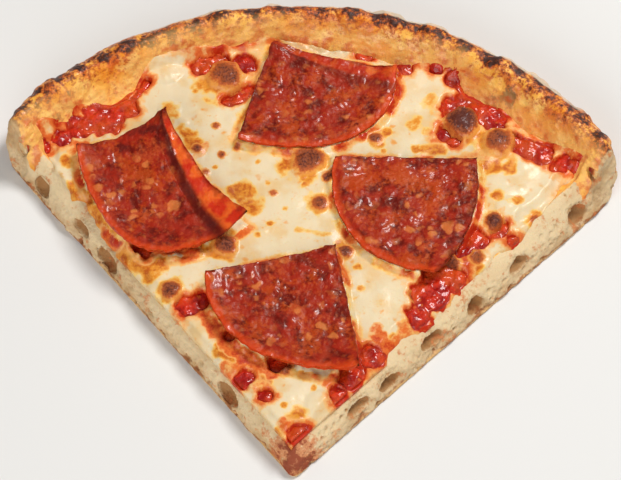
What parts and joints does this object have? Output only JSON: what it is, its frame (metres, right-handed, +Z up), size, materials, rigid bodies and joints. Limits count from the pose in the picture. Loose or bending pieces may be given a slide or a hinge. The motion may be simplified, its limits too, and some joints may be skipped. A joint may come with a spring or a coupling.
{
  "type": "pepperoni pizza slice",
  "caption": "Wedge of baked pizza with a raised browned rim, tomato sauce, melted mozzarella and curled pepperoni quarters.",
  "frame": {"origin": "middle of the slice's footprint, on the table under its flat base", "axes": "+Z up from the base; +Y from the tip towards the rim; +X to the right, along the chord of the rim"},
  "size_m": [0.2003, 0.1697, 0.0235],
  "materials": {
    "baked_dough": "baked, floury, browned",
    "tomato_sauce": "wet gloss",
    "melted_cheese": "oily, soft gloss",
    "pepperoni": "oily gloss"
  },
  "bodies": {
    "root": {"dough_crust": "baked_dough", "tomato_sauce": "tomato_sauce", "melted_mozzarella": "melted_cheese", "pepperoni_left": "pepperoni", "pepperoni_back": "pepperoni", "pepperoni_right": "pepperoni", "pepperoni_front": "pepperoni"}
  },
  "joints": []
}
